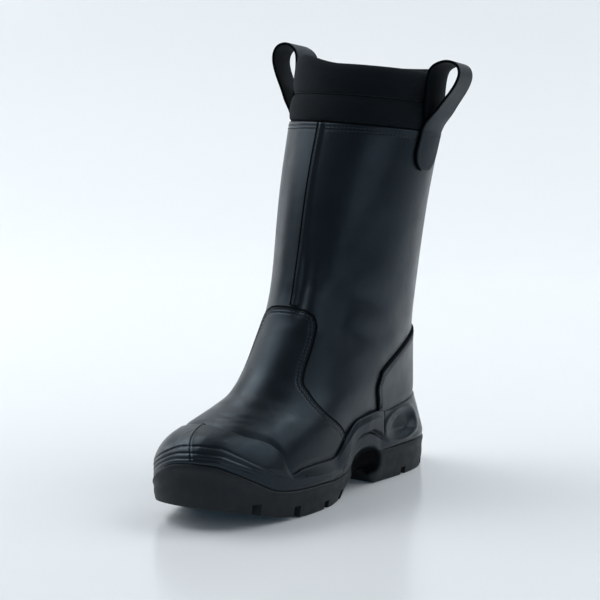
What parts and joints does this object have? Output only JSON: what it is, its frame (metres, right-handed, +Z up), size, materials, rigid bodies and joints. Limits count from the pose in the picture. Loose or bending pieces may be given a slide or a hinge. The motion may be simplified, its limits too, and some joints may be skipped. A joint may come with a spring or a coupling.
{
  "type": "pull-on safety boot",
  "caption": "Black pull-on work boot for the left foot: smooth leather shaft and vamp, moulded lugged sole with toe bumper and heel cup, padded textile collar, pull loops.",
  "frame": {"origin": "on the floor, under the middle of the boot's box", "axes": "+Z up, the toe points along -Y, the boot's left and outer side is +X"},
  "size_m": [0.1908, 0.3171, 0.361],
  "materials": {
    "smooth_leather": "satin, near black",
    "panel_leather": "satin, near black",
    "counter_leather": "satin, near black",
    "seam_leather": "satin, near black",
    "strap_leather": "satin, near black",
    "right_strap_leather": "satin, near black",
    "tread_rubber": "matt black",
    "moulded_foam": "matt black polyurethane",
    "collar_textile": "matt black knit",
    "footbed_felt": "matt dark felt"
  },
  "bodies": {
    "root": {"collar": "collar_textile", "front_seam": "seam_leather", "heel_counter": "counter_leather", "insole": "footbed_felt", "midsole": "moulded_foam", "outsole": "tread_rubber", "pull_loop_left": "strap_leather", "pull_loop_right": "right_strap_leather", "upper": "smooth_leather", "vamp": "panel_leather"}
  },
  "joints": []
}
